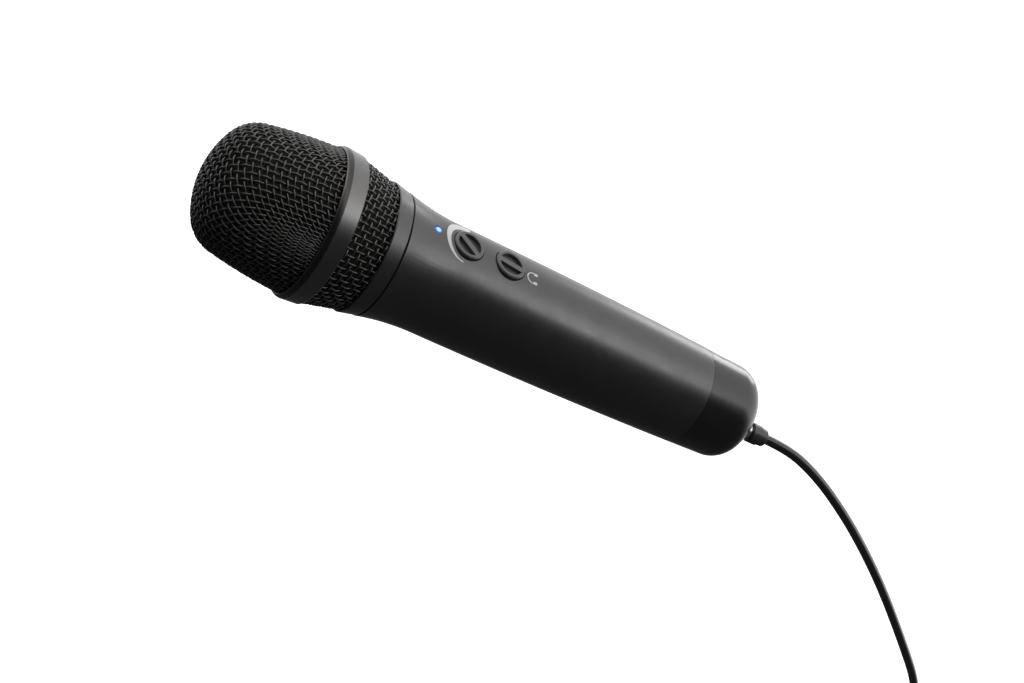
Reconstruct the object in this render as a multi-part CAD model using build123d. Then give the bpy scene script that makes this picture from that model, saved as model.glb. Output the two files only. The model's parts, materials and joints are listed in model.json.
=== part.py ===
from build123d import *
import math
import os

# A hand-held karaoke microphone with a plug-in lead. Millimetres.
# +X runs along the body towards the grille, +Z goes up through the two knobs,
# and the origin is on the body's axis, in the middle of the grip.

os.makedirs("parts", exist_ok=True)

# ---- driving dimensions ------------------------------------------------------------

# Stations along the axis
HEAD_TIP = 133.4
LIP = 97.6            # where the upper grille comes out of the band
BAND_FRONT = 95.6     # the band's flat face ends here, and its rounded lip begins
BAND_REAR = 90.2
COLLAR_FRONT = 77.65
HEAD_SEAM = 71.85     # the head unscrews from the handle here
NECK_START = 52.0     # the barrel flares from here to the head
CAP_SEAM = -45.0
SCREW_X = CAP_SEAM + 3.0  # the screw through barrel and cap
SCREW_R = 1.0
SCREW_HEAD_R = 1.9
SCREW_SEAT = 0.9      # how deep its head's underside lies in the barrel
TAIL_TIP = -70.7

# Radii
LIP_R = 24.2          # the upper grille's, where it goes into the band
BAND_R = 25.3
BAND_REAR_R = 24.9
BAND_BORE_R = 22.8
LOWER_GRILLE_FRONT_R = 24.55
LOWER_GRILLE_REAR_R = 21.45
COLLAR_R = 22.0
HEAD_SEAM_R = 20.9
GRIP_R = 18.6
GRIP_TAPER = 1.847e-4  # the radius falls by this times the distance squared

SKIN = 1.6            # wall of the barrel
MESH = 1.2            # two wires thick
GAP = 0.1             # sliding clearance
SEAM_GAP = 0.1
HEAD_SEAM_GAP = 0.25

# Upper grille: a flat dome and a slightly barrelled side, rounded together
CROWN_R = 32.0
SIDE_R = 164.0
SIDE_CENTRE = (89.1, -139.6)
SHOULDER_R = 12.0

# Tail cap: the barrel's taper, rounded into a domed end
TAIL_CROWN_R = 21.0
TAIL_SHOULDER_R = 9.5

# Controls
LED_X = 62.5
LED_R = 1.3
GAIN_X = 51.1
VOLUME_X = 35.9
WELL_R = 5.5
KNOB_R = 5.2
KNOB_TOP = 19.2
KNOB_BASE = 15.7
GAIN_BAR_DEG = -43.0   # turn of the grip bar from the body's axis
VOLUME_BAR_DEG = -8.0
SHAFT_R = 2.0
RUNNING = 0.05

# Circuit board
BOARD_TOP = 8.0
BOARD_THICK = 1.6
BOARD_HALF_W = 12.0
BOARD_REAR = -38.0
BOARD_FRONT = 64.0
SCREW_PLACES = ((42.0, 9.2), (42.0, -9.2), (-28.0, 9.2), (-28.0, -9.2))

# Tail sockets
CABLE_Y = 3.8
JACK_Y = -6.2
JACK_MOUTH = -69.6
JACK_BORE_R = 1.8
JACK_DEPTH = 14.0
PLUG_R = 2.6
PIN_CIRCLE = 1.15
PIN_PLACES = [(math.cos(math.radians(a)), math.sin(math.radians(a))) for a in (45, 135, 225, 315)]

# Lead: 1.5 m in all
CORD_R = 1.75
BOOT_FRONT = -72.0
BOOT_REAR = -78.5
BOOT_R = 3.5
COIL_CENTRE = (-250.0, 7.3, -205.9)
COIL_MEAN_R = 21.0
COIL_HALF = 5.25       # three cords across and three deep
CORD_PITCH = 2 * CORD_R
COIL_OUTER_TURN = COIL_MEAN_R + CORD_PITCH
# The lead leaves the coil straight down, and ends in its plug
TAIL_END_Z = COIL_CENTRE[2] - 18.0
TAIL_X = COIL_CENTRE[0] - COIL_OUTER_TURN
TAIL_Y = COIL_CENTRE[1] + CORD_PITCH
CORD_ROUTE = [
    (BOOT_REAR, CABLE_Y, 0.0),
    (-88.0, CABLE_Y, 0.0),
    (-101.0, CABLE_Y, -3.8),
    (-117.0, CABLE_Y, -11.2),
    (-140.0, CABLE_Y, -24.4),
    (-168.0, CABLE_Y, -43.3),
    (-200.0, CABLE_Y, -67.7),
    (-223.5, CABLE_Y, -86.5),
    (-240.5, CABLE_Y, -108.0),
    (-249.0, CABLE_Y, -133.0),
    (-251.0, CABLE_Y, -157.0),
    (-254.0, CABLE_Y, -171.5),
    (-259.6, CABLE_Y, -180.9),
    (-267.32, CABLE_Y, -188.58),
]


# ---- helpers ------------------------------------------------------------------------

def save(name, *solids):
    """Write one sub-part; several solids stay apart in one file."""
    shape = solids[0] if len(solids) == 1 else Compound(label=name, children=list(solids))
    shape.label = name
    export_step(shape, f"parts/{name}.step")
    print(f"{name}: {shape.volume:.1f} mm3")


def lathe(*points):
    """Turn a closed outline of (x, radius) points about the body's axis."""
    return revolve(make_face(Polyline(*points, close=True)), Axis.X)


def ring_block(start, end, inner, outer):
    """A plain ring about the body's axis, between two stations."""
    return lathe((start, inner), (end, inner), (end, outer), (start, outer))


def turned(*edges):
    """Turn a closed outline made of edges about the body's axis."""
    return revolve(make_face(list(edges)), Axis.X)


def rod_x(start, end, radius, y=0.0, z=0.0):
    middle = Pos((start + end) / 2, y, z)
    return middle * Rot(0, 90, 0) * Cylinder(radius, abs(end - start))


def rod_z(bottom, top, radius, x=0.0, y=0.0):
    return Pos(x, y, (bottom + top) / 2) * Cylinder(radius, top - bottom)


def block(x, y, z):
    """A box from three (low, high) pairs."""
    centre = Pos(*[(low + high) / 2 for low, high in (x, y, z)])
    return centre * Box(*[high - low for low, high in (x, y, z)])


def grip_radius(x):
    return GRIP_R - GRIP_TAPER * (NECK_START - x) ** 2


def grip_arc(start, end, inset=0.0):
    """The barrel's slow taper between two stations, moved in by inset."""
    stations = (start, (start + end) / 2, end)
    return ThreePointArc(*[(x, grip_radius(x) - inset) for x in stations])


def chain(*points):
    """Straight edges through the points."""
    return [Line(a, b) for a, b in zip(points, points[1:])]


# ---- head: turns off the handle as one piece ------------------------------------------

def grille_form(inset, base):
    """The space inside the upper grille's outer surface, moved in by inset."""
    crown = Pos(HEAD_TIP - CROWN_R, 0) * Circle(CROWN_R - inset)
    side = Pos(*SIDE_CENTRE) * Circle(SIDE_R - inset)
    window = Pos(base + 30.0, 20.0) * Rectangle(60.0, 40.0)
    outline = crown & side & window
    shoulder = max(outline.vertices(), key=lambda v: v.X + v.Y)
    outline = fillet(shoulder, SHOULDER_R - inset)
    return revolve(outline, Axis.X)


def upper_grille():
    tucked_in = LIP - 1.6
    dome = grille_form(0.0, LIP) - grille_form(MESH, LIP - 1.0)
    rim = lathe((LIP, LIP_R), (LIP, LIP_R - MESH), (tucked_in, LIP_R - MESH), (tucked_in, LIP_R))
    return dome + rim


def foam_windscreen():
    thickness = 3.4
    outer = MESH + GAP
    return grille_form(outer, LIP + 0.3) - grille_form(outer + thickness, LIP - 1.0)


def head_band():
    """A broad ring with a rounded front lip, grooved inside for both grilles."""
    bore, bevel, lip_wall = BAND_BORE_R + GAP, 0.25, 0.3
    rear_corner = (BAND_REAR + bevel, BAND_REAR_R)
    lip_edge = (LIP, LIP_R + lip_wall)
    bulge = ((BAND_FRONT + LIP) / 2 + 0.15, (BAND_R + LIP_R + lip_wall) / 2 + 0.2)
    ring = turned(
        *chain((LIP, bore), (BAND_REAR, bore), (BAND_REAR, BAND_REAR_R - bevel), rear_corner,
               (BAND_FRONT, BAND_R)),
        ThreePointArc((BAND_FRONT, BAND_R), bulge, lip_edge),
        Line(lip_edge, (LIP, bore)),
    )
    front_groove = ring_block(LIP - 1.7, LIP + 1, BAND_BORE_R, LIP_R + 0.02)
    rear_groove = ring_block(BAND_REAR - 1, BAND_REAR + 1, BAND_BORE_R, LOWER_GRILLE_FRONT_R + 0.02)
    return ring - front_groove - rear_groove


def band_inner_ring():
    inner, bevel = 21.5, 0.5
    rear = BAND_REAR + 0.2
    return lathe((rear, inner), (rear, BAND_BORE_R - bevel), (rear + bevel, BAND_BORE_R),
                 (LIP - 0.2, BAND_BORE_R), (LIP - 0.2, inner))


def lower_grille():
    rear_tuck, front_tuck = COLLAR_FRONT - 0.7, BAND_REAR + 0.9
    outer = ((rear_tuck, LOWER_GRILLE_REAR_R), (COLLAR_FRONT, LOWER_GRILLE_REAR_R),
             (BAND_REAR, LOWER_GRILLE_FRONT_R), (front_tuck, LOWER_GRILLE_FRONT_R))
    inner = [(x, r - MESH) for x, r in reversed(outer)]
    return lathe(*outer, *inner)


def lower_windscreen():
    """Thin foam behind the lower grille, with the same slope."""
    start, end, thickness, room = COLLAR_FRONT + 0.3, BAND_REAR - 0.1, 0.95, 0.4
    slope = (LOWER_GRILLE_FRONT_R - LOWER_GRILLE_REAR_R) / (BAND_REAR - COLLAR_FRONT)
    start_r = LOWER_GRILLE_REAR_R - MESH - room
    end_r = start_r + slope * (end - start)
    return lathe((start, start_r), (end, end_r), (end, end_r - thickness),
                 (start, start_r - thickness))


def neck_collar():
    start, bevel, thread_r = HEAD_SEAM + HEAD_SEAM_GAP, 0.3, 18.6
    ring = lathe(
        (start, thread_r), (start, HEAD_SEAM_R - bevel), (start + bevel, HEAD_SEAM_R),
        (COLLAR_FRONT - bevel, COLLAR_R), (COLLAR_FRONT, COLLAR_R - bevel),
        (COLLAR_FRONT, thread_r),
    )
    groove = ring_block(COLLAR_FRONT - 0.75, COLLAR_FRONT + 1, LOWER_GRILLE_REAR_R - MESH - 0.05,
                        LOWER_GRILLE_REAR_R + 0.02)
    return ring - groove


# ---- capsule, on the handle's neck -----------------------------------------------------

NECK_THREAD_R = 18.55
NECK_THREAD_PITCH = 1.1
NECK_BORE_R = 16.9
HOLDER_THROAT_R = 11.6
HOLDER_WALL = 1.6
CAPSULE_R = 7.8
CAPSULE_REAR = 96.0
CAPSULE_FRONT = 105.6
CAPSULE_RIM = 0.8


def threaded_neck():
    start, end, bevel = 65.0, 80.0, 0.6
    ring = lathe((start, NECK_BORE_R), (start, NECK_THREAD_R), (end - bevel, NECK_THREAD_R),
                 (end, NECK_THREAD_R - bevel), (end, NECK_BORE_R))
    half_groove, depth = 0.35, 0.45
    for turn in range(6):
        x = HEAD_SEAM + 0.95 + NECK_THREAD_PITCH * turn
        ring -= lathe((x - half_groove, NECK_THREAD_R + 0.05), (x, NECK_THREAD_R - depth),
                      (x + half_groove, NECK_THREAD_R + 0.05))
    return ring


def capsule_holder():
    """A funnel from the neck's bore to the capsule's seat."""
    foot, cone_start, cone_end, front = 78.0, 81.6, 93.0, 103.0
    foot_r, throat_r = NECK_BORE_R - 0.05, HOLDER_THROAT_R + HOLDER_WALL
    outer = ((foot, foot_r), (cone_start, foot_r), (cone_end, throat_r), (front, throat_r))
    inner = ((front, HOLDER_THROAT_R), (cone_end + 0.6, HOLDER_THROAT_R),
             (cone_start + 0.4, foot_r - HOLDER_WALL), (foot, foot_r - HOLDER_WALL))
    return lathe(*outer, *inner)


def capsule_shock_mount():
    """A rubber ring with two flanges, between the holder and the capsule."""
    outer, waist, inner = HOLDER_THROAT_R - GAP, HOLDER_THROAT_R - 1.4, CAPSULE_R + GAP
    rear, front = CAPSULE_REAR - 1.0, CAPSULE_FRONT - 1.4
    return lathe((rear, inner), (rear, outer), (rear + 1.5, outer), (rear + 2, waist),
                 (front - 4.2, waist), (front - 3.7, outer), (front, outer), (front, inner))


def capsule_housing():
    can = rod_x(CAPSULE_REAR, CAPSULE_FRONT, CAPSULE_R)
    return can - rod_x(CAPSULE_FRONT - 1.0, CAPSULE_FRONT + 1, CAPSULE_R - CAPSULE_RIM)


def capsule_screen():
    return rod_x(CAPSULE_FRONT - 0.95, CAPSULE_FRONT - GAP, CAPSULE_R - CAPSULE_RIM - GAP)


def capsule_wires():
    """Two thin wires from the capsule's back to the board's plug."""
    wires = []
    for y, plug_y in ((-1.5, 5.5), (1.5, 8.5)):
        path = FilletPolyline((95.9, y, 0), (86, y, 1), (74, plug_y - 1, 7), (61.05, plug_y, 10.2),
                              radius=6)
        wires.append(sweep(path.location_at(0) * Circle(0.45), path=path))
    return wires


# ---- handle ------------------------------------------------------------------------------

def handle_barrel():
    neck_inner, neck_thread_room, thread_step, bevel = 17.0, 18.6, 64.5, 0.15
    top, inside = 25.0, 10.0
    face_corner = (HEAD_SEAM, HEAD_SEAM_R - bevel)
    flare_end = (HEAD_SEAM - bevel, HEAD_SEAM_R)
    barrel = turned(
        grip_arc(CAP_SEAM, NECK_START),
        TangentArc((NECK_START, GRIP_R), flare_end, tangent=(1, 0)),
        *chain(flare_end, face_corner, (HEAD_SEAM, neck_thread_room),
               (thread_step, neck_thread_room), (thread_step, neck_inner),
               (NECK_START, neck_inner)),
        grip_arc(NECK_START, CAP_SEAM, SKIN),
        Line((CAP_SEAM, grip_radius(CAP_SEAM) - SKIN), (CAP_SEAM, grip_radius(CAP_SEAM))),
    )
    for x, radius in ((GAIN_X, WELL_R), (VOLUME_X, WELL_R), (LED_X, LED_R + GAP)):
        barrel -= rod_z(inside, top, radius, x)
    barrel -= rod_z(-top, -inside, SCREW_R + RUNNING, SCREW_X)
    barrel -= rod_z(-top, SCREW_SEAT - grip_radius(SCREW_X), SCREW_HEAD_R + GAP, SCREW_X)
    return barrel


def chassis_sled():
    """A moulded half tube under the board, with posts for its screws."""
    inset = SKIN + 0.2
    wall = 1.6
    front, rear = 60.0, CAP_SEAM + 8.5

    def core(depth, x_from, x_to):
        return turned(
            grip_arc(x_from, NECK_START, depth),
            *chain((NECK_START, GRIP_R - depth), (x_to, GRIP_R - depth), (x_to, 0), (x_from, 0),
                   (x_from, grip_radius(x_from) - depth)),
        )

    outside = core(inset, rear, front)
    seat = BOARD_TOP - BOARD_THICK
    sled = outside - core(inset + wall, rear - 1, front + 1)
    sled &= block((rear, front), (-20, 20), (-20, seat - 1.0))
    for x, y in SCREW_PLACES:
        sled += rod_z(-15, seat, 2.3, x, y) & outside
        sled -= rod_z(seat - 6, seat + 1, 0.95, x, y)
    return sled


def main_board():
    board = block((BOARD_REAR, BOARD_FRONT), (-BOARD_HALF_W, BOARD_HALF_W),
                  (BOARD_TOP - BOARD_THICK, BOARD_TOP))
    for x, y in SCREW_PLACES:
        board -= rod_z(0, 20, 1.1, x, y)
    return board


def board_screws():
    screws = []
    for x, y in SCREW_PLACES:
        head = rod_z(BOARD_TOP, BOARD_TOP + 1.1, 1.8, x, y)
        head -= block((x - 1.1, x + 1.1), (y - 0.2, y + 0.2), (BOARD_TOP + 0.6, BOARD_TOP + 2))
        head -= block((x - 0.2, x + 0.2), (y - 1.1, y + 1.1), (BOARD_TOP + 0.6, BOARD_TOP + 2))
        screws.append(head + rod_z(BOARD_TOP - 6, BOARD_TOP, 0.94, x, y))
    return screws


def potentiometer(x):
    half = 4.9
    body = block((x - half, x + half), (-half, half), (BOARD_TOP, BOARD_TOP + 5))
    body += rod_z(BOARD_TOP + 5, KNOB_BASE - 0.3, 3.5, x)
    return body - rod_z(BOARD_TOP + 1, 20, SHAFT_R + RUNNING, x)


def pot_shaft(x):
    return rod_z(BOARD_TOP + 1.2, KNOB_TOP - 2.2, SHAFT_R, x)


def knob(x, bar_deg):
    """A round cap with a raised rim and a grip bar between two half-moon pockets."""
    cap = rod_z(KNOB_BASE, KNOB_TOP, KNOB_R)
    cap = chamfer(cap.edges().filter_by(GeomType.CIRCLE).sort_by(Axis.Z)[-1], 0.35)
    pocket_depth = 1.25
    bar_half_width = 0.95
    bowl = rod_z(KNOB_TOP - pocket_depth, KNOB_TOP + 1, KNOB_R - 1.15)
    bar = block((-KNOB_R, KNOB_R), (-bar_half_width, bar_half_width), (KNOB_BASE, KNOB_TOP + 1))
    cap -= bowl - bar
    cap -= rod_z(KNOB_BASE - 1, KNOB_TOP - 2.2, SHAFT_R)
    return Pos(x, 0, 0) * Rot(0, 0, bar_deg) * cap


def status_led():
    return block((LED_X - 0.8, LED_X + 0.8), (-0.6, 0.6), (BOARD_TOP, BOARD_TOP + 0.9))


def led_light_pipe():
    """A clear rod from the diode to just above the barrel's skin, with a foot."""
    top = grip_radius(NECK_START) + 0.65
    base = BOARD_TOP + 1.0
    pipe = rod_z(base, top, LED_R, LED_X) + rod_z(base, base + 1.4, LED_R + 0.5, LED_X)
    return fillet(pipe.edges().filter_by(GeomType.CIRCLE).sort_by(Axis.Z)[-1], 0.35)


def board_chips():
    top = BOARD_TOP
    codec = block((12, 19), (-3.5, 3.5), (top, top + 1.0))
    controller = block((-6, 1), (-8.5, -1.5), (top, top + 1.0))
    regulator = block((-4, 0.5), (3.5, 6.5), (top, top + 1.4))
    return [codec, controller, regulator]


def board_capacitors():
    places = ((24.0, 8.4), (24.0, -8.4), (6.5, 6.0), (-14.0, -7.0), (-14.0, 0.0))
    return [rod_z(BOARD_TOP, BOARD_TOP + 4.4, 2.0, x, y) for x, y in places]


def capsule_connector():
    return block((56.4, 61.0), (3.4, 10.6), (BOARD_TOP, BOARD_TOP + 4.4))


# ---- tail --------------------------------------------------------------------------------

def tail_form(inset, front):
    """The space inside the tail's outer surface, from its domed tip to a station."""
    beyond = TAIL_TIP - 10.0
    crown = Pos(TAIL_TIP + TAIL_CROWN_R, 0) * Circle(TAIL_CROWN_R - inset)
    side = make_face([
        grip_arc(front, beyond, inset),
        *chain((beyond, grip_radius(beyond) - inset), (beyond, 0), (front, 0),
               (front, grip_radius(front) - inset)),
    ])
    outline = crown & side
    shoulder = max(outline.vertices(), key=lambda v: v.Y - v.X)
    outline = fillet(shoulder, TAIL_SHOULDER_R - inset)
    return revolve(outline, Axis.X)


def tail_cap():
    rim = CAP_SEAM - SEAM_GAP
    spigot_end = CAP_SEAM + 6.0
    spigot_r = grip_radius(CAP_SEAM) - SKIN - 0.05
    cap = tail_form(0.0, rim) + rod_x(rim - 2, spigot_end, spigot_r)
    cap -= tail_form(1.7, rim - 3) + rod_x(rim - 8, spigot_end + 1, spigot_r - 1.4)
    cap -= rod_x(-75, -60, 3.3, CABLE_Y)
    cap -= rod_x(-75, -60, 3.45, JACK_Y)
    cap -= rod_z(-20, -8, SCREW_R + RUNNING, SCREW_X)
    return cap


def headphone_jack():
    half_y, half_z = 3.0, 3.2
    body = block((-63.5, -51.0), (JACK_Y - half_y, JACK_Y + half_y), (-half_z, half_z))
    body += rod_x(-63.5, JACK_MOUTH, 2.7, JACK_Y)
    return body - rod_x(JACK_MOUTH, JACK_MOUTH + JACK_DEPTH, JACK_BORE_R, JACK_Y)


def jack_ring():
    ring = rod_x(-67.0, JACK_MOUTH, 3.4, JACK_Y)
    return ring - rod_x(-66.0, JACK_MOUTH - 1, 2.72, JACK_Y)


def cable_socket():
    tube = rod_x(-57.0, -69.9, 3.25, CABLE_Y)
    return tube - rod_x(-56.0, -71.0, PLUG_R + RUNNING, CABLE_Y)


def socket_contact_block():
    part = rod_x(-62.0, -57.0, 2.0, CABLE_Y) + rod_x(-57.0, -52.0, 3.25, CABLE_Y)
    for y, z in PIN_PLACES:
        part -= rod_x(-63.0, -57.5, 0.35, CABLE_Y + PIN_CIRCLE * y, PIN_CIRCLE * z)
    return part


def tail_wires():
    """Ribbon wires from the two sockets to the board's rear edge."""
    wires = []
    end_z = BOARD_TOP - BOARD_THICK / 2
    for start, y in ((-50.95, -7.2), (-50.95, -5.2), (-51.95, 2.8), (-51.95, 4.8)):
        path = FilletPolyline((start, y, 0.8), (-46, y, 0.8), (-42.5, y, end_z),
                              (BOARD_REAR - 0.05, y, end_z), radius=1.5)
        wires.append(sweep(path.location_at(0) * Circle(0.4), path=path))
    return wires


def tail_cap_screw():
    """Holds the cap's spigot in the barrel, from underneath."""
    skin_z = -grip_radius(SCREW_X)
    face = skin_z + 0.15
    head = rod_z(face, skin_z + SCREW_SEAT, SCREW_HEAD_R, SCREW_X)
    socket = extrude(Pos(SCREW_X, 0, face) * RegularPolygon(0.75, 6), 0.45)
    return head + rod_z(skin_z + SCREW_SEAT, -11.5, SCREW_R, SCREW_X) - socket


# ---- lead ----------------------------------------------------------------------------------

def cable_plug_shell():
    return rod_x(-73.0, -60.0, PLUG_R, CABLE_Y) - rod_x(-74.0, -59.0, 2.1, CABLE_Y)


def cable_plug_core():
    core = rod_x(-73.0, -63.0, 2.1, CABLE_Y)
    for y, z in PIN_PLACES:
        core -= rod_x(-66.0, -62.0, 0.3, CABLE_Y + PIN_CIRCLE * y, PIN_CIRCLE * z)
    return core


def cable_plug_pins():
    return [rod_x(-66.0, -59.0, 0.3, CABLE_Y + PIN_CIRCLE * y, PIN_CIRCLE * z)
            for y, z in PIN_PLACES]


def cable_boot():
    half = lathe((BOOT_FRONT, 0), (BOOT_FRONT, BOOT_R - 0.3), (BOOT_FRONT - 0.3, BOOT_R),
                 (-75.6, BOOT_R), (-75.9, 3.15), (-78.1, 3.0), (BOOT_REAR, 2.6), (BOOT_REAR, 0))
    boot = Pos(0, CABLE_Y, 0) * half
    return boot - rod_x(-73.0, BOOT_FRONT + 1, PLUG_R, CABLE_Y)


def largest_radii(points):
    """For each corner, 0.45 of its shorter run over the tangent of half its turn."""
    radii = []
    for before, here, after in zip(points, points[1:], points[2:]):
        run_in, run_out = Vector(*here) - Vector(*before), Vector(*after) - Vector(*here)
        turn = math.radians(run_in.get_angle(run_out))
        radii.append(0.45 * min(run_in.length, run_out.length) / math.tan(turn / 2))
    return radii


def cord_tube():
    radii = largest_radii(CORD_ROUTE)
    print("cord arcs:", [round(r, 1) for r in radii])
    path = FilletPolyline(*CORD_ROUTE, radius=radii)
    tube = sweep(path.location_at(0) * Circle(CORD_R), path=path)
    print(f"cord path {path.length:.2f} mm, section x length {path.length * math.pi * CORD_R ** 2:.1f}")
    return tube


def cord_coil():
    inner, outer = COIL_MEAN_R - COIL_HALF, COIL_MEAN_R + COIL_HALF
    ring = Cylinder(outer, 2 * COIL_HALF) - Cylinder(inner, 3 * COIL_HALF)
    ring = fillet(ring.edges().filter_by(GeomType.CIRCLE), CORD_R)
    return Pos(*COIL_CENTRE) * Rot(90, 0, 0) * ring


def cord_end():
    return rod_z(TAIL_END_Z, COIL_CENTRE[2], CORD_R, TAIL_X, TAIL_Y)


def coil_tie():
    """A strap round the bundle, at the top of the coil."""
    x, y, z = COIL_CENTRE
    half_w, thick, room = 4.0, 1.2, 0.2
    side = COIL_HALF + room
    low, high = z + COIL_MEAN_R - COIL_HALF - 0.8, z + COIL_MEAN_R + side
    outer = block((x - half_w, x + half_w), (y - side - thick, y + side + thick),
                  (low - thick, high + thick))
    outer = fillet(outer.edges().filter_by(Axis.X), 2.0)
    inner = block((x - 9, x + 9), (y - side, y + side), (low, high))
    return outer - inner


def usb_overmould():
    top = TAIL_END_Z
    body = block((TAIL_X - 4, TAIL_X + 4), (TAIL_Y - 8, TAIL_Y + 8), (top - 26, top - 5))
    body = fillet(body.edges().filter_by(Axis.Z), 1.8)
    relief = Pos(TAIL_X, TAIL_Y, top - 2.5) * Cone(3.4, 2.4, 5.0)
    return body + relief


def usb_shell():
    top = TAIL_END_Z - 26
    shell = block((TAIL_X - 2.25, TAIL_X + 2.25), (TAIL_Y - 6, TAIL_Y + 6), (top - 12, top))
    hollow = block((TAIL_X - 1.95, TAIL_X + 1.95), (TAIL_Y - 5.7, TAIL_Y + 5.7), (top - 13, top))
    return shell - hollow


def usb_tongue():
    top = TAIL_END_Z - 26
    return block((TAIL_X - 1.95, TAIL_X - 0.15), (TAIL_Y - 5.6, TAIL_Y + 5.6), (top - 11.4, top))


def main():
    save("upper_grille", upper_grille())
    save("foam_windscreen", foam_windscreen())
    save("head_band", head_band())
    save("band_inner_ring", band_inner_ring())
    save("lower_grille", lower_grille())
    save("lower_windscreen", lower_windscreen())
    save("neck_collar", neck_collar())

    save("threaded_neck", threaded_neck())
    save("capsule_holder", capsule_holder())
    save("capsule_shock_mount", capsule_shock_mount())
    save("capsule_housing", capsule_housing())
    save("capsule_screen", capsule_screen())
    save("capsule_wires", *capsule_wires())

    save("handle_barrel", handle_barrel())
    save("chassis_sled", chassis_sled())
    save("main_board", main_board())
    save("board_screws", *board_screws())
    save("board_chips", *board_chips())
    save("board_capacitors", *board_capacitors())
    save("capsule_connector", capsule_connector())
    save("gain_potentiometer", potentiometer(GAIN_X))
    save("volume_potentiometer", potentiometer(VOLUME_X))
    save("status_led", status_led())
    save("led_light_pipe", led_light_pipe())

    save("gain_knob", knob(GAIN_X, GAIN_BAR_DEG))
    save("gain_shaft", pot_shaft(GAIN_X))
    save("volume_knob", knob(VOLUME_X, VOLUME_BAR_DEG))
    save("volume_shaft", pot_shaft(VOLUME_X))

    save("tail_cap", tail_cap())
    save("tail_cap_screw", tail_cap_screw())
    save("headphone_jack", headphone_jack())
    save("jack_ring", jack_ring())
    save("cable_socket", cable_socket())
    save("socket_contact_block", socket_contact_block())
    save("tail_wires", *tail_wires())

    save("cable_plug_shell", cable_plug_shell())
    save("cable_plug_core", cable_plug_core())
    save("cable_plug_pins", *cable_plug_pins())
    save("cable_boot", cable_boot())
    save("cord_tube", cord_tube())
    save("cord_coil", cord_coil())
    save("cord_end", cord_end())
    save("coil_tie", coil_tie())
    save("usb_overmould", usb_overmould())
    save("usb_shell", usb_shell())
    save("usb_tongue", usb_tongue())


main()
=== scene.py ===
import json
import math

import bpy
import numpy as np
from mathutils import Matrix, Vector


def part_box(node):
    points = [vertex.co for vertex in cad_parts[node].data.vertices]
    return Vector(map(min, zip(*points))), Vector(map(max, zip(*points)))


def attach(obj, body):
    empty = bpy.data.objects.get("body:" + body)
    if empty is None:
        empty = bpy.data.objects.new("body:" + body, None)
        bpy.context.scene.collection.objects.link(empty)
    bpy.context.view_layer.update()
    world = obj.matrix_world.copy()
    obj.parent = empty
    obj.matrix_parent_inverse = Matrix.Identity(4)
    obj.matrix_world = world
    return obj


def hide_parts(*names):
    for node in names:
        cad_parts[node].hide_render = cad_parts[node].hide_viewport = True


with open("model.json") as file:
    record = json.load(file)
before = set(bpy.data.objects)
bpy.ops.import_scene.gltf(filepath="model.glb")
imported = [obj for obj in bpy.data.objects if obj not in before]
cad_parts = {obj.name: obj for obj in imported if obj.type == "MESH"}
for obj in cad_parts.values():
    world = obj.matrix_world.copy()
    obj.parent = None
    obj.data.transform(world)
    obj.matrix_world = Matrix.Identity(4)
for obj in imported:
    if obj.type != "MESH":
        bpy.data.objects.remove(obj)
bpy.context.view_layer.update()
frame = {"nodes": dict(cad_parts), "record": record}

# Lengths are in millimetres until a mesh is made, and the frame is in metres.
MM = 0.001


def node_box(name):
    """(lowest corner, highest corner) of a CAD node in millimetres."""
    low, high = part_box(name)
    return Vector(low) / MM, Vector(high) / MM


# ---- sizes, from the frame where it has them -------------------------------------------

HEAD_TIP = node_box("upper_grille")[1].x
LIP = node_box("head_band")[1].x
BAND_FRONT = 95.6        # where the band's face ends and its rounded lip starts
CROWN_R = 32.0
SIDE_R = 164.0
SIDE_CENTRE = (89.1, -139.6)
SHOULDER_R = 12.0

RIM_TUCK = 1.2           # how far the wires run on behind the lip

LOWER_FRONT, LOWER_FRONT_R = 90.7, 24.6
LOWER_REAR, LOWER_REAR_R = 77.2, 21.4
LOWER_ROUND = 68         # wires along the cone
LOWER_PITCH = 2.09
LOWER_STARTS = 12        # the wires round it are skewed, and climb this many pitches a turn
LOWER_TUCK = 0.1         # how far the wires along it run past each end, in pitches
LOWER_SAMPLES = 8        # along a wire, to a pitch

WIRE_R = 0.3
WIRE_SIDES = 6
NET_PITCH = 2.15
NET_REACH = 25           # wires each side of the middle one
NET_TURN = 18.0          # degrees from the knobs' side, towards +Y
EASING_STEPS = 40
WIRE_STIFFNESS = 0.2     # share of a wire's stretch that each of its ends moves by in one step
CELL_STIFFNESS = 0.05    # the same for a cell's diagonals
SAMPLES = 6              # along a wire, from one crossing to the next
SHORTEST_RUN = 4         # a piece of wire with fewer samples is left out
NET_SKIRT = 60           # length of the straight run that the net is drawn on behind the lip
ARC_SAMPLES = 60         # along each arc of the dome's outline
FIT_ROUNDS = 5           # rounds of closing in on a crossing
FIT_CUTOFF = 0.02        # where two wires run nearly in line, their errors are shared

GRIP_R = 18.6
NECK_START = 52.0
GRIP_TAPER = 1.847e-4
FLARE_R = 86.4
LED_R = 1.3

INK = 0.03               # how far a printed mark stands off the paint
WEDGE_INNER_R = 6.6
WEDGE_THIN_R = 6.9       # the wedge's outer edge where it starts and where it ends
WEDGE_WIDE_R = 9.7
WEDGE_START, WEDGE_END = 82.0, -98.0
WEDGE_SAMPLES = 60
MARK_CENTRE = (27.4, 0.9)
MARK_R = 2.0
MARK_LINE = 0.36
MARK_TAIL = 0.9          # straight run from the headband's arc to the pads
PAD_REAR, PAD_FRONT = 0.75, 0.55
PAD_IN, PAD_OUT = 0.8, 0.25
MARK_SAMPLES, PAD_SAMPLES = 30, 6

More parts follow.
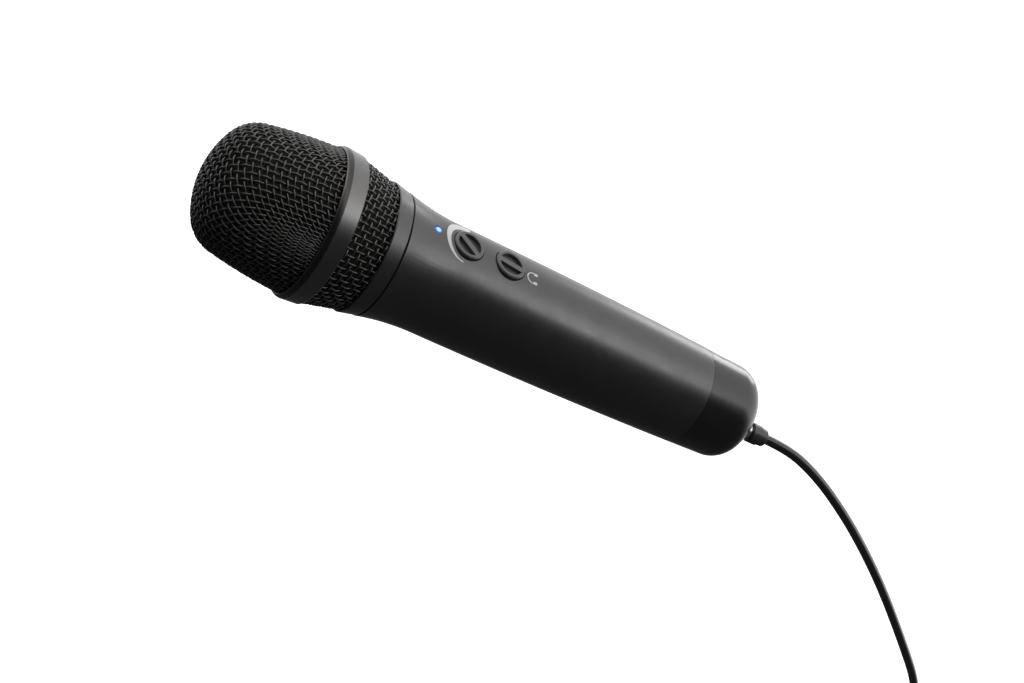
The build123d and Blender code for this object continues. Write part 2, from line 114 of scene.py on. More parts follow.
CORD_D = 3.5
COIL_CENTRE = Vector((-250.0, 7.3, -205.9))
COIL_MEAN_R = 21.0
COIL_TURNS = 9.125
COIL_START = 135.0       # degrees from +X towards +Z
COIL_STEPS = 16          # points to a turn
CHANGE_START = 0.75      # the part of a turn after which the lead crosses to its next ring
# Which ring of the bundle each turn lies in: (outwards, sideways), in cord diameters
COIL_CELLS = ((1, -1), (0, -1), (-1, -1), (-1, 0), (-1, 1), (0, 1), (0, 0), (1, 0), (1, 1), (1, 1))
CORD_ROUTE = [
    (-78.5, 3.8, 0.0),
    (-88.0, 3.8, 0.0),
    (-101.0, 3.8, -3.8),
    (-117.0, 3.8, -11.2),
    (-140.0, 3.8, -24.4),
    (-168.0, 3.8, -43.3),
    (-200.0, 3.8, -67.7),
    (-223.5, 3.8, -86.5),
    (-240.5, 3.8, -108.0),
    (-249.0, 3.8, -133.0),
    (-251.0, 3.8, -157.0),
    (-254.0, 3.8, -171.5),
    (-259.6, 3.8, -180.9),
]
PLUG_LEAVE = 7.0         # how far under the coil's middle the lead turns down to the plug
PLUG_SINK = 1.5          # how far the lead goes into the overmould

# Greys of the band's face, of its lip (painted shade for the dark reflection on the rounded bevel)
# and of the lip's front edge (a painted highlight)
BAND_GREY = (0.19, 0.186, 0.184)
LIP_PAINTED_SHADE = (0.07, 0.067, 0.065)
LIP_EDGE_PAINTED_HIGHLIGHT = (0.16, 0.154, 0.15)

# The studio, in metres; a stop is (how far the way is towards the bright side, brightness)
BRIGHT_SIDE = (-0.28, -0.8, 0.45)
WORLD_STOPS = ((0.0, 0.05), (0.5, 0.06), (0.6, 0.35), (0.7, 1.5), (0.8, 1.25), (1.0, 0.9))
FLOOR_HALF = 6.0
FLOOR_Z = -1.3
CAMERA_PLACE = Vector((0.2711, 0.4297, 0.4006))
CAMERA_AIM = Vector((0.0150, -0.0017, -0.0127))
CAMERA_ROLL = 45.1
CAMERA_LENS = 70.31


# ---- material helpers ------------------------------------------------------------------

def colour_ramp(tree, factor, stops):
    """Colours or greys against a factor: each stop is (position, value)."""
    node = tree.nodes.new("ShaderNodeValToRGB")
    elements = node.color_ramp.elements
    while len(elements) < len(stops):
        elements.new(0.5)
    for element, (position, value) in zip(elements, stops):
        element.position = position
        colour = value if isinstance(value, tuple) else (value, value, value)
        element.color = (*colour, 1.0)
    tree.links.new(factor, node.inputs["Fac"])
    return node.outputs["Color"]


class Shader:
    """A material under construction, with short calls for its nodes."""

    def __init__(self, name):
        self.material = bpy.data.materials.new(name)
        self.material.use_nodes = True
        self.nodes = self.material.node_tree.nodes
        self.links = self.material.node_tree.links
        self.bsdf = self.nodes["Principled BSDF"]
        place = self.nodes.new("ShaderNodeTexCoord")
        self.place = place.outputs["Object"]

    def set(self, **values):
        for key, value in values.items():
            self.bsdf.inputs[key.replace("_", " ")].default_value = value
        return self

    def link(self, output, socket):
        self.links.new(output, self.bsdf.inputs[socket])
        return self

    def noise(self, size_mm, detail=2.0, roughness=0.5, stretch=(1, 1, 1)):
        """Noise whose features are about size_mm across."""
        mapping = self.nodes.new("ShaderNodeMapping")
        mapping.inputs["Scale"].default_value = [1 / (size_mm * MM * s) for s in stretch]
        self.links.new(self.place, mapping.inputs["Vector"])
        texture = self.nodes.new("ShaderNodeTexNoise")
        texture.inputs["Scale"].default_value = 1.0
        texture.inputs["Detail"].default_value = detail
        texture.inputs["Roughness"].default_value = roughness
        self.links.new(mapping.outputs["Vector"], texture.inputs["Vector"])
        return texture.outputs["Fac"]

    def ramp(self, factor, *stops):
        return colour_ramp(self.material.node_tree, factor, stops)

    def gloss(self, size_mm, roughness, spread):
        """A roughness that wanders a little, in patches about size_mm across."""
        patches = self.noise(size_mm, 4.0, 0.6)
        stops = ((0.3, roughness - spread), (0.7, roughness + spread))
        return self.link(self.ramp(patches, *stops), "Roughness")

    def bump(self, height, distance_mm, strength=1.0):
        node = self.nodes.new("ShaderNodeBump")
        node.inputs["Strength"].default_value = strength
        node.inputs["Distance"].default_value = distance_mm * MM
        self.links.new(height, node.inputs["Height"])
        self.links.new(node.outputs["Normal"], self.bsdf.inputs["Normal"])
        return self


def tinted(name, colour, spread, size_mm, roughness, rough_spread, metallic=0.0):
    """A base of one colour that wanders a little in shade and in gloss."""
    shader = Shader(name)
    darker = tuple(c * (1 - spread) for c in colour)
    lighter = tuple(c * (1 + spread) for c in colour)
    shade = shader.noise(size_mm, 3.0)
    shader.link(shader.ramp(shade, (0.3, darker), (0.7, lighter)), "Base Color")
    shader.gloss(0.6 * size_mm, roughness, rough_spread)
    return shader.set(Metallic=metallic)


# ---- materials -------------------------------------------------------------------------

def body_paint():
    shader = tinted("satin_body_paint", (0.115, 0.113, 0.112), 0.05, 9.0, 0.3, 0.03, 0.85)
    return shader.bump(shader.noise(0.16, 3.0, 0.6), 0.01, 0.45).material


def band_metal():
    """Turned metal, with painted shade on the rounded lip in front of the band's face and a painted
    highlight along the lip's front edge.
    """
    shader = Shader("turned_band_metal").gloss(3.6, 0.3, 0.03).set(Metallic=1.0)
    along = shader.nodes.new("ShaderNodeSeparateXYZ")
    shader.links.new(shader.place, along.inputs["Vector"])
    across = shader.nodes.new("ShaderNodeMapRange")
    across.inputs["From Min"].default_value = BAND_FRONT * MM
    across.inputs["From Max"].default_value = LIP * MM
    shader.links.new(along.outputs["X"], across.inputs["Value"])
    # The lip's grey is painted shade and its front edge's grey is a painted highlight, placed by
    # position along X
    shader.link(shader.ramp(across.outputs["Result"], (0.0, BAND_GREY), (0.1, LIP_PAINTED_SHADE),
                            (0.8, LIP_PAINTED_SHADE), (0.95, LIP_EDGE_PAINTED_HIGHLIGHT)), "Base Color")
    turning = shader.noise(0.12, 2.0, 0.6, stretch=(1, 60, 60))
    return shader.bump(turning, 0.012, 0.5).material


def grille_wire():
    shader = tinted("black_wire", (0.12, 0.117, 0.114), 0.2, 2.0, 0.3, 0.05, 0.8)
    return shader.bump(shader.noise(0.12, 2.0), 0.01, 0.4).material


def foam():
    shader = tinted("black_foam", (0.042, 0.04, 0.038), 0.5, 0.5, 0.95, 0.04)
    shader.set(Specular_IOR_Level=0.2)
    return shader.bump(shader.noise(0.45, 4.0, 0.7), 0.3).material


def cap_plastic():
    shader = tinted("gloss_black_cap", (0.011, 0.011, 0.011), 0.15, 8.0, 0.2, 0.02)
    shader.set(Specular_IOR_Level=0.8)
    return shader.bump(shader.noise(0.5, 2.0), 0.004, 0.25).material


def knob_plastic():
    shader = tinted("moulded_knob", (0.085, 0.084, 0.083), 0.12, 1.5, 0.32, 0.04)
    shader.set(Specular_IOR_Level=0.8)
    return shader.bump(shader.noise(0.1, 3.0, 0.6), 0.012, 0.5).material


def soft_rubber():
    shader = tinted("matte_rubber", (0.036, 0.037, 0.036), 0.15, 1.5, 0.38, 0.05)
    shader.set(Specular_IOR_Level=0.8)
    return shader.bump(shader.noise(0.13, 3.0, 0.6), 0.015, 0.5).material


def plug_rubber():
    shader = tinted("plug_overmould", (0.02, 0.02, 0.021), 0.15, 2.0, 0.46, 0.05)
    return shader.bump(shader.noise(0.15, 3.0, 0.6), 0.018, 0.5).material


def cord_jacket():
    shader = tinted("cord_jacket", (0.012, 0.012, 0.012), 0.2, 3.0, 0.2, 0.04)
    shader.set(Specular_IOR_Level=0.9)
    return shader.bump(shader.noise(0.35, 2.0), 0.012, 0.3).material


def tie_strap():
    shader = tinted("hook_and_loop", (0.018, 0.018, 0.02), 0.35, 0.6, 0.9, 0.05)
    shader.set(Sheen_Weight=0.3, Sheen_Roughness=0.5)
    return shader.bump(shader.noise(0.3, 4.0, 0.7), 0.2, 0.8).material


def inner_steel():
    shader = tinted("turned_steel", (0.5, 0.5, 0.51), 0.08, 3.0, 0.32, 0.06, 1.0)
    return shader.bump(shader.noise(0.15, 2.0, 0.6, stretch=(1, 40, 40)), 0.01, 0.4).material


def nickel_plate():
    shader = tinted("nickel_plate", (0.66, 0.65, 0.63), 0.05, 3.0, 0.16, 0.04, 1.0)
    return shader.bump(shader.noise(0.4, 2.0), 0.003, 0.3).material


def contact_brass():
    shader = tinted("contact_brass", (0.75, 0.55, 0.24), 0.08, 1.0, 0.22, 0.05, 1.0)
    return shader.bump(shader.noise(0.2, 2.0), 0.003, 0.3).material


def capsule_can():
    shader = tinted("drawn_aluminium", (0.62, 0.62, 0.63), 0.06, 2.0, 0.3, 0.05, 1.0)
    return shader.bump(shader.noise(0.1, 2.0, 0.6, stretch=(30, 1, 1)), 0.006, 0.3).material


def wire_insulation():
    shader = tinted("red_wire", (0.42, 0.03, 0.025), 0.12, 2.0, 0.4, 0.05)
    return shader.bump(shader.noise(0.3, 2.0), 0.01, 0.3).material


def black_plastic():
    shader = tinted("moulded_black", (0.024, 0.024, 0.025), 0.15, 2.0, 0.45, 0.06)
    return shader.bump(shader.noise(0.14, 3.0, 0.6), 0.014, 0.5).material


def pale_plastic():
    shader = tinted("pale_plastic", (0.72, 0.72, 0.68), 0.05, 1.5, 0.42, 0.05)
    return shader.bump(shader.noise(0.15, 2.0), 0.008, 0.3).material


def printed_ink():
    shader = tinted("printed_ink", (0.7, 0.7, 0.69), 0.06, 0.8, 0.5, 0.05)
    return shader.bump(shader.noise(0.12, 2.0), 0.006, 0.4).material


def circuit_board():
    shader = tinted("solder_mask", (0.012, 0.09, 0.045), 0.15, 1.2, 0.34, 0.05)
    return shader.bump(shader.noise(0.5, 3.0), 0.03, 0.4).material


def led_lens():
    """A clear light pipe, lit from below: pale in the middle and deep blue at its rim."""
    shader = Shader("lit_lens")
    low, high = node_box("led_light_pipe")
    middle = (low + high) / 2
    mapping = shader.nodes.new("ShaderNodeMapping")
    mapping.vector_type = "TEXTURE"
    mapping.inputs["Location"].default_value = (middle.x * MM, middle.y * MM, 0)
    edge = 1.1 * LED_R * MM
    mapping.inputs["Scale"].default_value = (edge, edge, 1e6)
    gradient = shader.nodes.new("ShaderNodeTexGradient")
    gradient.gradient_type = "SPHERICAL"
    shader.links.new(shader.place, mapping.inputs["Vector"])
    shader.links.new(mapping.outputs["Vector"], gradient.inputs["Vector"])
    glow = shader.ramp(gradient.outputs["Fac"], (0.1, (0.0, 0.07, 0.55)),
                       (0.3, (0.0, 0.2, 0.95)), (0.42, (0.12, 0.5, 1.0)),
                       (0.55, (0.5, 0.82, 1.0)))
    shader.link(glow, "Emission Color")
    shader.set(Base_Color=(0.02, 0.06, 0.2, 1), Roughness=0.2, Emission_Strength=1.0)
    return shader.bump(shader.noise(0.4, 2.0), 0.004, 0.3).material


MATERIALS = {
    "body_paint": body_paint(),
    "band_metal": band_metal(),
    "grille_wire": grille_wire(),
    "foam": foam(),
    "cap_plastic": cap_plastic(),
    "knob_plastic": knob_plastic(),
    "soft_rubber": soft_rubber(),
    "plug_rubber": plug_rubber(),
    "cord_jacket": cord_jacket(),
    "tie_strap": tie_strap(),
    "inner_steel": inner_steel(),
    "nickel_plate": nickel_plate(),
    "contact_brass": contact_brass(),
    "capsule_can": capsule_can(),
    "wire_insulation": wire_insulation(),
    "black_plastic": black_plastic(),
    "pale_plastic": pale_plastic(),
    "circuit_board": circuit_board(),
    "led_lens": led_lens(),
}
MARK_INK = printed_ink()


def dress_frame():
    """Gives every CAD node the material of its slot."""
    for part in frame["record"]["subparts"]:
        node = frame["nodes"][part["node"]]
        node.data.materials.clear()
        node.data.materials.append(MATERIALS[part["material_slot"]])


# ---- mesh helpers ----------------------------------------------------------------------

def add_mesh(name, points, faces, material, body, smooth=True):
    """A mesh object from points in millimetres, riding on a body."""
    mesh = bpy.data.meshes.new(name)
    mesh.from_pydata((np.asarray(points) * MM).tolist(), [], faces)
    mesh.polygons.foreach_set("use_smooth", [smooth] * len(mesh.polygons))
    mesh.materials.append(material)
    mesh.update()
    piece = bpy.data.objects.new(name, mesh)
    bpy.context.scene.collection.objects.link(piece)
    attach(piece, body)
    return piece


def unit(vectors):
    return vectors / np.linalg.norm(vectors, axis=-1, keepdims=True)


def tube_mesh(paths, radius, sides):
    """Round tubes with capped ends along (centres, side directions) paths, as points and faces."""
    points, faces = [], []
    start = 0
    turns = np.arange(sides) * 2 * math.pi / sides
    for centres, across in paths:
        along = unit(np.gradient(centres, axis=0))
        first = unit(across - (across * along).sum(1, keepdims=True) * along)
        second = np.cross(along, first)
        ring = (first[:, None] * np.cos(turns)[None, :, None]
                + second[:, None] * np.sin(turns)[None, :, None])
        points.append((centres[:, None] + radius * ring).reshape(-1, 3))
        last = start + (len(centres) - 1) * sides
        for here in range(start, last, sides):
            there = here + sides
            for side in range(sides):
                beside = (side + 1) % sides
                faces.append((here + side, here + beside, there + beside, there + side))
        faces.append(tuple(range(start + sides - 1, start - 1, -1)))
        faces.append(tuple(range(last, last + sides)))
        start = last + sides
    return np.concatenate(points), faces


# ---- upper grille: woven wire drawn over a dome ----------------------------------------

def dome_profile(inset):
    """The dome's half outline as rows of (distance from the tip, x, r, normal x, normal r)."""
    crown_x = HEAD_TIP - CROWN_R
    side_x, side_r = SIDE_CENTRE
    to_side = math.hypot(side_x - crown_x, side_r)
    a, b = CROWN_R - SHOULDER_R, SIDE_R - SHOULDER_R
    along = (a * a - b * b + to_side * to_side) / (2 * to_side)
    off = math.sqrt(a * a - along * along)
    ux, ur = (side_x - crown_x) / to_side, side_r / to_side
    centre = (crown_x + along * ux - off * ur, along * ur + off * ux)
    crown_end = math.atan2(centre[1], centre[0] - crown_x)
    side_start = math.atan2(centre[1] - side_r, centre[0] - side_x)
    side_end = math.pi / 2 - math.asin((LIP - side_x) / SIDE_R)
    arcs = (
        (crown_x, 0.0, CROWN_R, 0.0, crown_end),
        (centre[0], centre[1], SHOULDER_R, crown_end, side_start),
        (side_x, side_r, SIDE_R, side_start, side_end),
    )
    rows = []
    for centre_x, centre_r, radius, begin, end in arcs:
        for angle in np.linspace(begin, end, ARC_SAMPLES):
            reach = radius - inset
            rows.append((centre_x + reach * math.cos(angle), centre_r + reach * math.sin(angle),
                         math.cos(angle), math.sin(angle)))
    # A straight run behind the rim, for the net's corners that are cut off there
    rim_r = rows[-1][1]
    for drop in range(1, NET_SKIRT + 1):
        rows.append((LIP - drop, rim_r, 0.0, 1.0))
    rows = np.array(rows)
    steps = np.hypot(*np.diff(rows[:, :2], axis=0).T)
    distance = np.concatenate([[0], np.cumsum(steps)])
    keep = np.concatenate([[True], steps > 1e-6])
    return np.column_stack([distance, rows])[keep]


class Dome:
    """The middle surface of the mesh, with a way to put points on it."""

    def __init__(self):
        self.profile = dome_profile(2 * WIRE_R)

    def at(self, distance, angle):
        """Points and outward normals, by distance from the tip and angle round the axis."""
        table = self.profile
        x, r, nx, nr = (np.interp(distance, table[:, 0], table[:, k]) for k in range(1, 5))
        point = np.stack([x, r * np.sin(angle), r * np.cos(angle)], -1)
        normal = np.stack([nx, nr * np.sin(angle), nr * np.cos(angle)], -1)
        return point, unit(normal)

    def settle(self, point, distance):
        """The distance and angle of the surface's point nearest to each point."""
        angle = np.arctan2(point[..., 1], point[..., 2])
        # Two rounds are enough, because the first distance is close
        for _ in range(2):
            here, normal = self.at(distance, angle)
            flat_r = np.hypot(normal[..., 1], normal[..., 2])
            ahead = np.stack([-flat_r, normal[..., 0] * np.sin(angle),
                              normal[..., 0] * np.cos(angle)], -1)
            distance = distance + ((point - here) * ahead).sum(-1)
            distance = np.clip(distance, 0, self.profile[-1, 0])
        return distance, angle


def next_crossing(dome, beside, below, corner, near):
    """The crossing one pitch from two others, on the far side of the corner between them."""
    point = beside + below - corner
    distance = near
    for _ in range(FIT_ROUNDS):
        distance, angle = dome.settle(point, distance)
        foot, normal = dome.at(distance, angle)
        off_a, off_b = point - beside, point - below
        far_a, far_b = np.linalg.norm(off_a), np.linalg.norm(off_b)
        rows = np.array([off_a / far_a, off_b / far_b, normal])
        errors = np.array([NET_PITCH - far_a, NET_PITCH - far_b, (foot - point) @ normal])
        point = point + np.linalg.lstsq(rows, errors, rcond=FIT_CUTOFF)[0]
    return dome.settle(point, distance)


def draw_net(dome):
    """Crossings of square mesh drawn over the dome, as (distance, angle) arrays.

    The two middle wires follow meridians. Every other crossing is one pitch from the two
    before it, so the wires keep their length and the cells shear between the middle wires.
    """
    size = NET_REACH + 1
    reach, turn = np.zeros((size, size)), np.zeros((size, size))
    reach[:, 0] = reach[0] = NET_PITCH * np.arange(size)
    turn[0] = math.pi / 2
    turn[0, 0] = 0
    place = dome.at(reach, turn)[0]
    for i in range(1, size):
        for j in range(1, size):
            reach[i, j], turn[i, j] = next_crossing(
                dome, place[i - 1, j], place[i, j - 1], place[i - 1, j - 1], reach[i - 1, j])
            place[i, j] = dome.at(reach[i, j], turn[i, j])[0]
    full = np.zeros((2, 2 * NET_REACH + 1, 2 * NET_REACH + 1))
    for quarter in range(4):
        for i in range(size):
            for j in range(size):
                row, column = ((i, j), (-j, i), (-i, -j), (j, -i))[quarter]
                spin = turn[i, j] + quarter * math.pi / 2 + math.radians(NET_TURN)
                full[:, row + NET_REACH, column + NET_REACH] = reach[i, j], spin
    return full


def open_up(dome, reach, turn):
    """Eases the most sheared cells open, as the stiffness of real wire does."""
    diagonal = NET_PITCH * math.sqrt(2)
    for _ in range(EASING_STEPS):
        point = dome.at(reach, turn)[0]
        push = np.zeros_like(point)
        for (a, b), rest, stiffness in (
            ((1, 0), NET_PITCH, WIRE_STIFFNESS),
            ((0, 1), NET_PITCH, WIRE_STIFFNESS),
            ((1, 1), diagonal, CELL_STIFFNESS),
            ((1, -1), diagonal, CELL_STIFFNESS),
        ):
            near = (slice(None, -a or None), slice(max(-b, 0), -max(b, 0) or None))
            far = (slice(a, None), slice(max(b, 0), min(b, 0) or None))
            link = point[far] - point[near]
            length = np.linalg.norm(link, axis=-1, keepdims=True)
            pull = link * (1 - rest / length) * stiffness
            push[near] += pull
            push[far] -= pull
        push[NET_REACH, NET_REACH] = 0
        reach, turn = dome.settle(point + push, reach)
    return reach, turn


def smooth_between(values, samples):
    """Points on the Catmull-Rom curve through the values, samples to a step."""
    before = np.concatenate([values[:1], values[:-1]])
    after = np.concatenate([values[1:], values[-1:]])
    slope = (after - before) / 2
    out = []
    for k in range(samples):
        t = k / samples
        p0, p1, m0, m1 = values[:-1], values[1:], slope[:-1], slope[1:]
        out.append((2 * t**3 - 3 * t**2 + 1) * p0 + (t**3 - 2 * t**2 + t) * m0
                   + (3 * t**2 - 2 * t**3) * p1 + (t**3 - t**2) * m1)
    return np.stack(out, 1).reshape(-1, *values.shape[1:])


def upper_grille():
    dome = Dome()
    reach, turn = open_up(dome, *draw_net(dome))
    net = dome.at(reach, turn)[0]
    edge = dome.profile[:, 0][np.argmin(np.abs(dome.profile[:, 1] - (LIP - RIM_TUCK)))]
    paths = []
    for family in (0, 1):
        for row in range(2 * NET_REACH + 1):
            knots = net[:, row] if family == 0 else net[row]
            rough = reach[:, row] if family == 0 else reach[row]
            line = smooth_between(knots, SAMPLES)
            distance, angle = dome.settle(line, smooth_between(rough[:, None], SAMPLES)[:, 0])
            base, normal = dome.at(distance, angle)
            step = np.arange(len(line)) / SAMPLES + row
            side = 1 if family == 0 else -1
            lift = side * WIRE_R * np.cos(math.pi * step)
            centres = base + normal * lift[:, None]
            kept = np.flatnonzero(distance < edge)
            runs = np.split(kept, np.flatnonzero(np.diff(kept) > 1) + 1)
            paths += [(centres[r], normal[r]) for r in runs if len(r) >= SHORTEST_RUN]
    points, faces = tube_mesh(paths, WIRE_R, WIRE_SIDES)
    piece = add_mesh("woven_upper_grille", points, faces, MATERIALS["grille_wire"], "head")
    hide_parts("upper_grille")


# ---- lower grille: the same mesh wrapped round a cone ----------------------------------

def lower_grille():
    slope = (LOWER_FRONT_R - LOWER_REAR_R) / (LOWER_FRONT - LOWER_REAR)
    lean = math.atan(slope)
    inset = 2 * WIRE_R
    climb = LOWER_STARTS / LOWER_ROUND
    rows = (LOWER_FRONT - LOWER_REAR) / LOWER_PITCH

    def wire(row, step, side):
        """A wire's path from its row and step numbers, with its woven rise and fall."""
        angle = 2 * math.pi * step / LOWER_ROUND
        lift = side * WIRE_R * np.cos(math.pi * (row - climb * step + step))
        x = LOWER_REAR + LOWER_PITCH * row
        r = LOWER_REAR_R + slope * (x - LOWER_REAR) - inset + lift * math.cos(lean)
        x = x - lift * math.sin(lean)
        outward = np.stack([0 * angle, np.sin(angle), np.cos(angle)], -1)
        return np.stack([x, r * np.sin(angle), r * np.cos(angle)], -1), outward

    paths = []
    for k in range(LOWER_ROUND):
        row = np.linspace(-LOWER_TUCK, rows + LOWER_TUCK, LOWER_SAMPLES * math.ceil(rows))
        paths.append(wire(row, np.full_like(row, k), 1))
    for start in range(LOWER_STARTS):
        row = np.linspace(0, rows, LOWER_SAMPLES * round(rows / climb))
        paths.append(wire(row, (row - start) / climb, -1))
    points, faces = tube_mesh(paths, WIRE_R, WIRE_SIDES)
    piece = add_mesh("woven_lower_grille", points, faces, MATERIALS["grille_wire"], "head")
    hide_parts("lower_grille")


# ---- printed marks on the barrel -------------------------------------------------------

def barrel_z(x, y):
    radius = GRIP_R - GRIP_TAPER * max(NECK_START - x, 0) ** 2
    flare = max(x - NECK_START, 0)
    radius += flare**2 / (2 * FLARE_R)
    return math.sqrt(radius**2 - y**2)


def printed_strip(name, left, right):
    """A thin film of ink between two lines of (x, y) places, lying on the barrel."""
    columns = 5
    points, faces = [], []
    for (lx, ly), (rx, ry) in zip(left, right):
        for lift in (INK, -INK):
            for k in range(columns):
                t = k / (columns - 1)
                x, y = lx + (rx - lx) * t, ly + (ry - ly) * t
                points.append((x, y, barrel_z(x, y) + lift))
    width = 2 * columns
    for row in range(len(left) - 1):
        a, b = row * width, (row + 1) * width
        for k in range(columns - 1):
            faces.append((a + k, a + k + 1, b + k + 1, b + k))
            under = columns + k
            faces.append((a + under + 1, a + under, b + under, b + under + 1))
        faces.append((a, b, b + columns, a + columns))
        last = columns - 1
        faces.append((a + last, a + last + columns, b + last + columns, b + last))
    for row, flip in ((0, False), (len(left) - 1, True)):
        a = row * width
        for k in range(columns - 1):
            quad = (a + k, a + columns + k, a + columns + k + 1, a + k + 1)
            faces.append(quad[::-1] if flip else quad)
    add_mesh(name, points, faces, MARK_INK, "handle", smooth=False)


def arc_points(centre, radius, start, end, count):
    """(x, y) places round a centre; angles in degrees from +X towards +Y."""
    angles = np.radians(np.linspace(start, end, count))
    radii = np.broadcast_to(radius, angles.shape)
    return [(centre[0] + r * math.cos(a), centre[1] + r * math.sin(a))
            for a, r in zip(angles, radii)]


def gain_wedge():
    low, high = node_box("gain_knob")
    middle = ((low.x + high.x) / 2, 0.0)
    outer_r = np.linspace(WEDGE_THIN_R, WEDGE_WIDE_R, WEDGE_SAMPLES)
    inner = arc_points(middle, WEDGE_INNER_R, WEDGE_START, WEDGE_END, WEDGE_SAMPLES)
    outer = arc_points(middle, outer_r, WEDGE_START, WEDGE_END, WEDGE_SAMPLES)
    printed_strip("gain_wedge_print", inner, outer)


def headphone_mark():
    """A headband arc with two ear pads, 4.5 mm across."""
    x, y = MARK_CENTRE
    tail = x - MARK_TAIL
    lines = []
    for radius in (MARK_R - MARK_LINE / 2, MARK_R + MARK_LINE / 2):
        arc = arc_points(MARK_CENTRE, radius, 90, -90, MARK_SAMPLES)
        lines.append([(tail, y + radius), *arc, (tail, y - radius)])
    printed_strip("headphone_mark_band", *lines)
    for side, name in ((1, "headphone_mark_pad_a"), (-1, "headphone_mark_pad_b")):
        near, far = y + side * (MARK_R - PAD_IN), y + side * (MARK_R + PAD_OUT)
        columns = np.linspace(tail - PAD_REAR, tail + PAD_FRONT, PAD_SAMPLES)
        printed_strip(name, [(c, near) for c in columns], [(c, far) for c in columns])


# ---- lead ------------------------------------------------------------------------------

def coil_points():
    """The tied coil's turns, from where the lead joins them to where it leaves."""
    points = []
    for k in range(int(COIL_TURNS * COIL_STEPS) + 1):
        turn = k / COIL_STEPS
        whole = min(int(turn), len(COIL_CELLS) - 2)
        change = min(max((turn - whole - CHANGE_START) / (1 - CHANGE_START), 0), 1)
        change = change * change * (3 - 2 * change)
        here, there = COIL_CELLS[whole], COIL_CELLS[whole + 1]
        out = (here[0] + (there[0] - here[0]) * change) * CORD_D
        aside = (here[1] + (there[1] - here[1]) * change) * CORD_D
        angle = math.radians(COIL_START) + 2 * math.pi * turn
        # The curve cuts inside its points, so they stand a little further out
        radius = (COIL_MEAN_R + out) / math.cos(math.pi / COIL_STEPS) ** 0.5
        points.append((COIL_CENTRE.x + radius * math.cos(angle), COIL_CENTRE.y + aside,
                       COIL_CENTRE.z + radius * math.sin(angle)))
    return points


def lead():
    plug_low, plug_high = node_box("usb_overmould")
    middle = (plug_low + plug_high) / 2
    leave = (middle.x, middle.y, COIL_CENTRE.z - PLUG_LEAVE)
    end = (middle.x, middle.y, plug_high.z - PLUG_SINK)
    points = CORD_ROUTE + coil_points() + [leave, end]
    curve = bpy.data.curves.new("lead", "CURVE")
    curve.dimensions = "3D"
    spline = curve.splines.new("NURBS")
    spline.points.add(len(points) - 1)
    for point, place in zip(spline.points, points):
        point.co = (*(Vector(place) * MM), 1.0)
    spline.order_u = 3
    spline.use_endpoint_u = True
    spline.resolution_u = 6
    curve.bevel_depth = CORD_D / 2 * MM
    curve.bevel_resolution = 5
    curve.use_fill_caps = True
    curve.materials.append(MATERIALS["cord_jacket"])
    cord = bpy.data.objects.new("lead", curve)
    bpy.context.scene.collection.objects.link(cord)
    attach(cord, "cable")
    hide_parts("cord_tube", "cord_coil", "cord_end")


# ---- studio ----------------------------------------------------------------------------

def studio_world():
    """A bright sweep behind and above the object, and a dark room in front of it."""
    world = bpy.data.worlds.new("studio")
    bpy.context.scene.world = world
    world.use_nodes = True
    nodes, links = world.node_tree.nodes, world.node_tree.links
    place = nodes.new("ShaderNodeTexCoord")
    towards = nodes.new("ShaderNodeVectorMath")
    towards.operation = "DOT_PRODUCT"
    towards.inputs[1].default_value = Vector(BRIGHT_SIDE).normalized()
    links.new(place.outputs["Generated"], towards.inputs[0])
    scale = nodes.new("ShaderNodeMath")
    scale.operation = "MULTIPLY_ADD"
    scale.inputs[1].default_value = 0.5
    scale.inputs[2].default_value = 0.5
    links.new(towards.outputs["Value"], scale.inputs[0])
    room = nodes["Background"]
    sweep = colour_ramp(world.node_tree, scale.outputs["Value"], WORLD_STOPS)
    links.new(sweep, room.inputs["Color"])
    room.inputs["Strength"].default_value = 1.0
    seen = nodes.new("ShaderNodeBackground")
    seen.inputs["Color"].default_value = (1, 1, 1, 1)
    pick = nodes.new("ShaderNodeMixShader")
    path = nodes.new("ShaderNodeLightPath")
    links.new(path.outputs["Is Camera Ray"], pick.inputs["Fac"])
    links.new(room.outputs["Background"], pick.inputs[1])
    links.new(seen.outputs["Background"], pick.inputs[2])
    links.new(pick.outputs["Shader"], nodes["World Output"].inputs["Surface"])


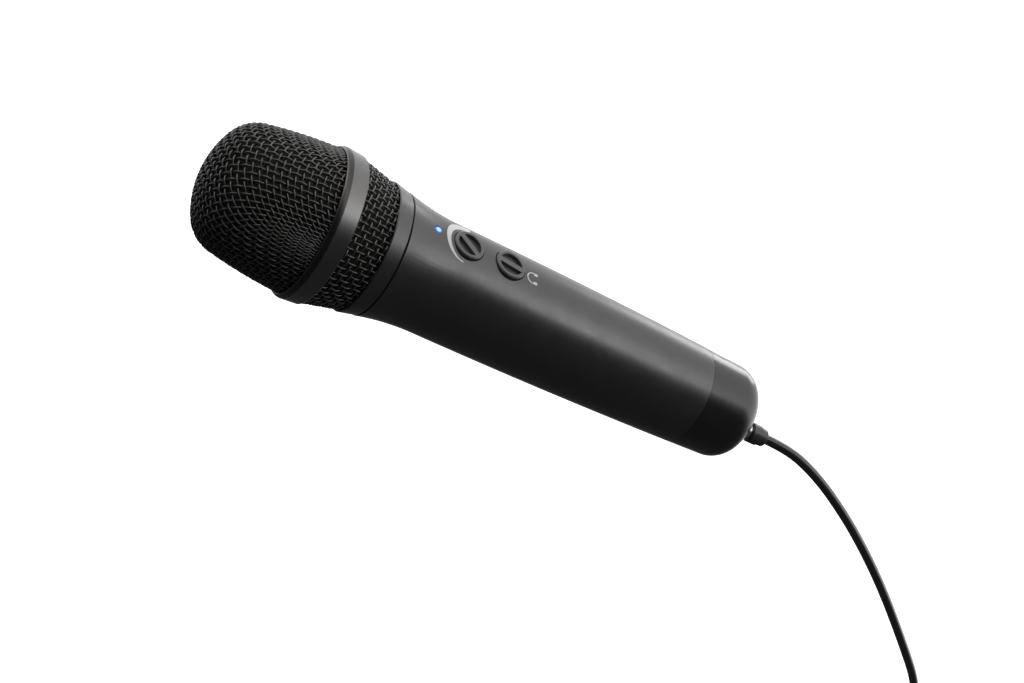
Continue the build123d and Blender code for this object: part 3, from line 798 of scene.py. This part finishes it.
def area_light(name, place, aim, size, power):
    data = bpy.data.lights.new(name, "AREA")
    data.shape = "RECTANGLE"
    data.size, data.size_y = size
    data.energy = power
    lamp = bpy.data.objects.new(name, data)
    lamp.location = place
    lamp.rotation_euler = (Vector(aim) - Vector(place)).to_track_quat("-Z", "Y").to_euler()
    bpy.context.scene.collection.objects.link(lamp)


def studio():
    studio_world()
    area_light("softbox", place=(-0.3, 0.08, 0.7), aim=(-0.02, 0, 0), size=(0.3, 0.2), power=0.12)
    area_light("window", place=(-0.37, 0.22, 0.68), aim=(-0.06, 0, 0), size=(0.12, 0.12), power=0.13)
    area_light("edge_light", place=(-0.68, -0.9, 0.12), aim=(0.09, 0, 0), size=(0.4, 0.4), power=1.5)
    floor_sheet()


def floor_sheet():
    """A white sheet far below, which lights nothing and isn't reflected."""
    corners = [(x, y, FLOOR_Z) for x, y in ((-FLOOR_HALF, -FLOOR_HALF), (FLOOR_HALF, -FLOOR_HALF),
                                            (FLOOR_HALF, FLOOR_HALF), (-FLOOR_HALF, FLOOR_HALF))]
    mesh = bpy.data.meshes.new("floor")
    mesh.from_pydata(corners, [], [(0, 1, 2, 3)])
    shader = Shader("pale_floor")
    pale = shader.ramp(shader.noise(400.0, 2.0), (0.3, 0.93), (0.7, 0.97))
    shader.link(pale, "Base Color").link(pale, "Emission Color")
    shader.set(Roughness=0.9, Emission_Strength=0.9)
    mesh.materials.append(shader.material)
    floor = bpy.data.objects.new("floor", mesh)
    bpy.context.scene.collection.objects.link(floor)
    floor.visible_glossy = False
    floor.visible_diffuse = False


def camera():
    facing = (CAMERA_AIM - CAMERA_PLACE).to_track_quat("-Z", "Y").to_matrix()
    turn = facing @ Matrix.Rotation(math.radians(CAMERA_ROLL), 3, "Z")
    data = bpy.data.cameras.new("camera")
    data.sensor_width = 36.0
    data.lens = CAMERA_LENS
    data.clip_start, data.clip_end = 0.01, 50.0
    eye = bpy.data.objects.new("camera", data)
    eye.matrix_world = Matrix.Translation(CAMERA_PLACE) @ turn.to_4x4()
    bpy.context.scene.collection.objects.link(eye)
    bpy.context.scene.camera = eye


# ---- build -----------------------------------------------------------------------------

dress_frame()
upper_grille()
lower_grille()
gain_wedge()
headphone_mark()
lead()
studio()
camera()
bpy.context.scene.view_settings.view_transform = "Standard"
